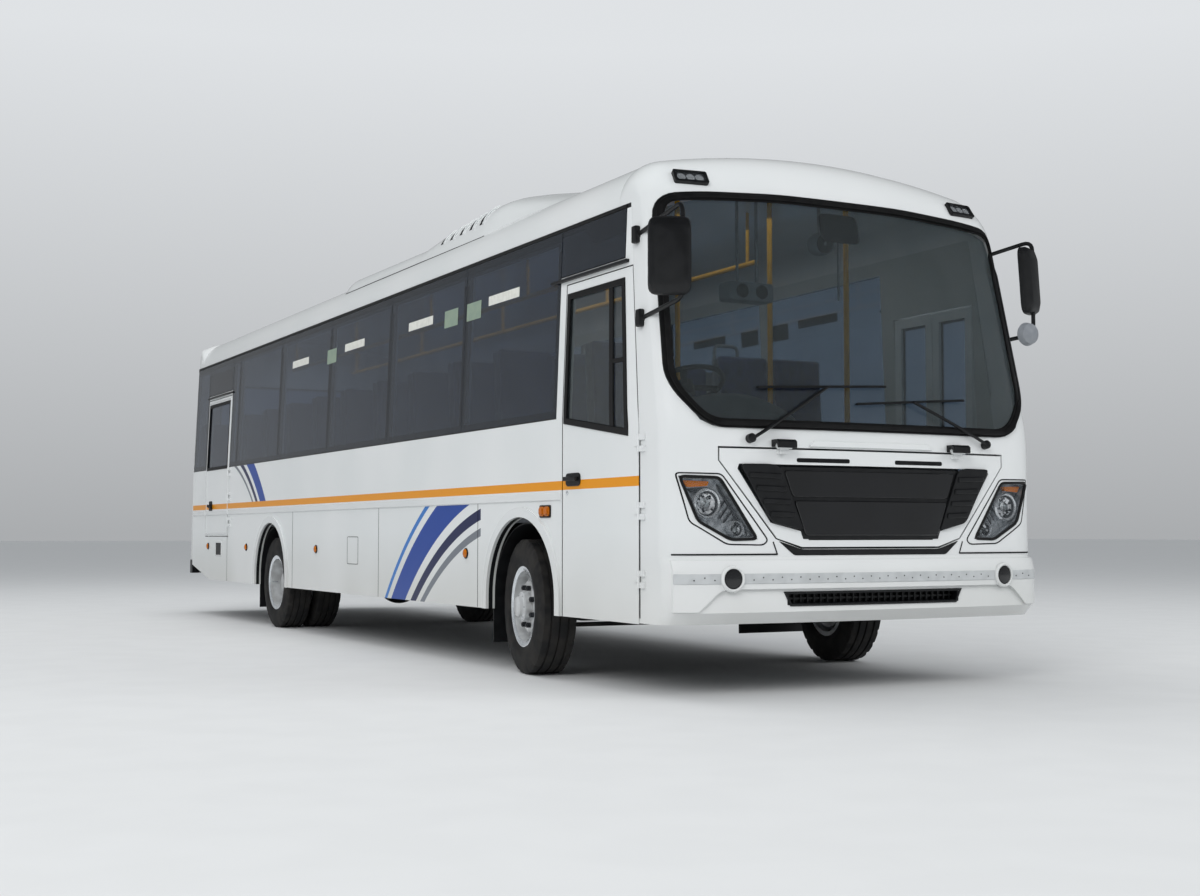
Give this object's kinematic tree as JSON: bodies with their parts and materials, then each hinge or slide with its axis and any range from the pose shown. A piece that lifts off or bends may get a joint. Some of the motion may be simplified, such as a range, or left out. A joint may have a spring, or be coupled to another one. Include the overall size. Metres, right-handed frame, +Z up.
{
  "type": "single-deck bus",
  "caption": "White single-deck midi bus with hinged driver and emergency doors, folding entry door, front flap, linked steering and turning wheels.",
  "frame": {"origin": "on the ground under the middle of the bus", "axes": "+X forward, +Y to the left side, +Z up"},
  "size_m": [10.41, 2.8345, 3.14],
  "materials": {
    "paint_white": "gloss",
    "window_glass": "gloss",
    "lamp_lens": "gloss",
    "red_lens": "gloss",
    "amber_lens": "gloss",
    "black_plastic": "satin",
    "black_rubber": "matte",
    "tyre_rubber": "matte",
    "silver_steel": "satin",
    "chassis_black": "satin",
    "engine_grey": "satin",
    "galvanised_steel": "satin",
    "floor_covering": "matte",
    "trim_grey": "matte",
    "seat_fabric": "matte",
    "yellow_rail": "gloss"
  },
  "bodies": {
    "body": {"chassis_frame": "chassis_black", "cross_members": "chassis_black", "floor_bearers": "chassis_black", "front_axle": "chassis_black", "rear_axle": "chassis_black", "leaf_springs": "chassis_black", "engine": "engine_grey", "driveline": "engine_grey", "radiator": "chassis_black", "tanks": "chassis_black", "exhaust": "galvanised_steel", "floor": "floor_covering", "side_wall_right": "paint_white", "side_wall_left": "paint_white", "roof": "paint_white", "front_fascia": "paint_white", "rear_wall": "paint_white", "front_bumper": "paint_white", "rear_bumper": "black_plastic", "windscreen": "window_glass", "windscreen_seal": "black_rubber", "rear_window": "window_glass", "side_glass": "window_glass", "roof_pod": "paint_white", "headlamps": "lamp_lens", "rear_lamps": "red_lens", "side_lamps": "amber_lens", "mirrors": "black_plastic", "wipers": "black_plastic", "dashboard": "trim_grey", "seat_bases": "seat_fabric", "seat_backs": "seat_fabric", "grab_rails": "yellow_rail", "arch_flares": "paint_white", "mudguards": "chassis_black", "door_hinges": "black_plastic"},
    "flap": {"front_flap": "paint_white", "grille": "black_plastic"},
    "driver_door": {"driver_door": "paint_white", "driver_door_glass": "window_glass"},
    "emergency_door": {"emergency_door": "paint_white", "emergency_door_glass": "window_glass"},
    "entry_front_leaf": {"entry_leaf_front": "paint_white", "entry_glass_front": "window_glass"},
    "entry_rear_leaf": {"entry_leaf_rear": "paint_white", "entry_glass_rear": "window_glass"},
    "knuckle_right": {"knuckle_right": "chassis_black"},
    "knuckle_left": {"knuckle_left": "chassis_black"},
    "tie_rod": {"tie_rod": "chassis_black"},
    "wheel_fr": {"wheel_front_right": "silver_steel", "tyre_front_right": "tyre_rubber"},
    "wheel_fl": {"wheel_front_left": "silver_steel", "tyre_front_left": "tyre_rubber"},
    "wheel_rr": {"wheel_rear_right": "silver_steel", "tyres_rear_right": "tyre_rubber"},
    "wheel_rl": {"wheel_rear_left": "silver_steel", "tyres_rear_left": "tyre_rubber"},
    "steering_wheel": {"steering_wheel": "black_plastic"}
  },
  "joints": [
    {"name": "steer_right", "type": "hinge", "parent": "body", "child": "knuckle_right", "pos_m": [3.35, -0.93, 0.398], "axis": [0, 0, 1], "range_deg": [-27, 43]},
    {"name": "steer_left", "type": "hinge", "parent": "body", "child": "knuckle_left", "pos_m": [3.35, 0.93, 0.398], "axis": [0, 0, 1], "range_deg": [-27, 43]},
    {"name": "tie_rod_pivot", "type": "hinge", "parent": "knuckle_right", "child": "tie_rod", "pos_m": [3.18165, -0.90634, 0.275], "axis": [0, 0, 1], "range_deg": [-43, 27]},
    {"name": "steering_turn", "type": "hinge", "parent": "body", "child": "steering_wheel", "pos_m": [4.25, -0.62, 1.64], "axis": [-0.4226, 0, 0.9063], "range_deg": [-270, 430]},
    {"name": "roll_front_right", "type": "hinge", "parent": "knuckle_right", "child": "wheel_fr", "pos_m": [3.32815, -1.08547, 0.4], "axis": [0.1392, 0.9903, 0], "continuous": true},
    {"name": "roll_front_left", "type": "hinge", "parent": "knuckle_left", "child": "wheel_fl", "pos_m": [3.37185, 1.08547, 0.4], "axis": [0.1392, 0.9903, 0], "continuous": true},
    {"name": "roll_rear_right", "type": "hinge", "parent": "body", "child": "wheel_rr", "pos_m": [-1.95, -0.927, 0.4], "axis": [0, 1, 0], "continuous": true},
    {"name": "roll_rear_left", "type": "hinge", "parent": "body", "child": "wheel_rl", "pos_m": [-1.95, 0.927, 0.4], "axis": [0, 1, 0], "continuous": true},
    {"name": "driver_door_hinge", "type": "hinge", "parent": "body", "child": "driver_door", "pos_m": [4.802, -1.233, 0.95], "axis": [0, 0, 1], "range_deg": [0, 75]},
    {"name": "emergency_door_hinge", "type": "hinge", "parent": "body", "child": "emergency_door", "pos_m": [-3.433, -1.233, 1.2], "axis": [0, 0, 1], "range_deg": [0, 80]},
    {"name": "entry_leaf_pivot", "type": "hinge", "parent": "body", "child": "entry_front_leaf", "pos_m": [4.615, 1.158, 1.3], "axis": [0, 0, 1], "range_deg": [0, 80]},
    {"name": "entry_leaf_fold", "type": "hinge", "parent": "entry_front_leaf", "child": "entry_rear_leaf", "pos_m": [4.267, 1.194, 1.3], "axis": [0, 0, 1], "range_deg": [-160, 0]},
    {"name": "flap_hinge", "type": "hinge", "parent": "body", "child": "flap", "pos_m": [5.165, 0, 1.279], "axis": [0, -1, 0], "range_deg": [0, 75]}
  ],
  "couplings": [
    {"joint": "steer_left", "follows": "steer_right", "ratio": 1},
    {"joint": "tie_rod_pivot", "follows": "steer_right", "ratio": -1},
    {"joint": "steering_turn", "follows": "steer_right", "ratio": 10},
    {"joint": "entry_leaf_fold", "follows": "entry_leaf_pivot", "ratio": -2}
  ]
}
